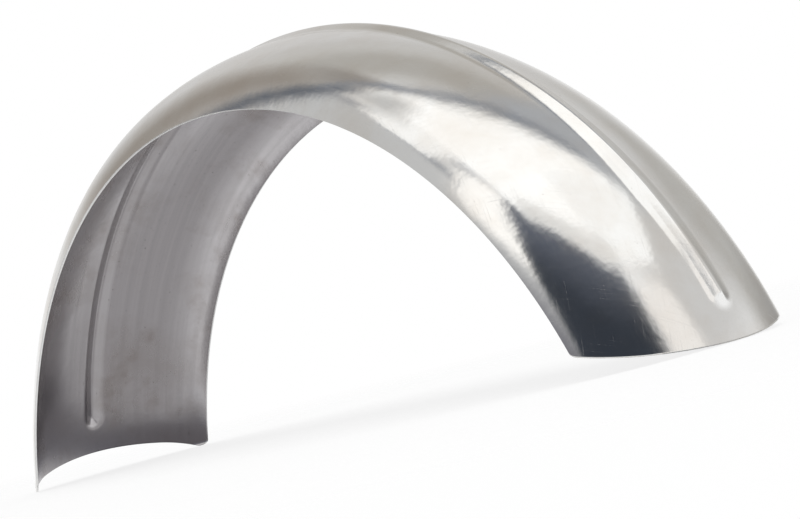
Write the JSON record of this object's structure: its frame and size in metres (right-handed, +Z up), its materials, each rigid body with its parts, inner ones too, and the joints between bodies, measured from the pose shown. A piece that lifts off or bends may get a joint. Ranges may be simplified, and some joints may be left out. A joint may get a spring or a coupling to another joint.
{
  "type": "motorcycle mudguard",
  "caption": "Undrilled rolled aluminium mudguard blank: an arched sheet with a domed section, plain cut rims and a raised centre bead, to cover a motorcycle wheel.",
  "frame": {"origin": "on the floor below the middle of the guard's footprint, as it stands on its two ends; the wheel axle it bends round is 88.7 mm below the floor", "axes": "+X towards the end with the sloping cut, +Y across the guard along the wheel axle, +Z up"},
  "size_m": [0.6544, 0.16, 0.2563],
  "materials": {
    "polished_aluminium": "hand polished outside with fine scratches, dull and stained inside"
  },
  "bodies": {
    "root": {"mudguard": "polished_aluminium"}
  },
  "joints": []
}
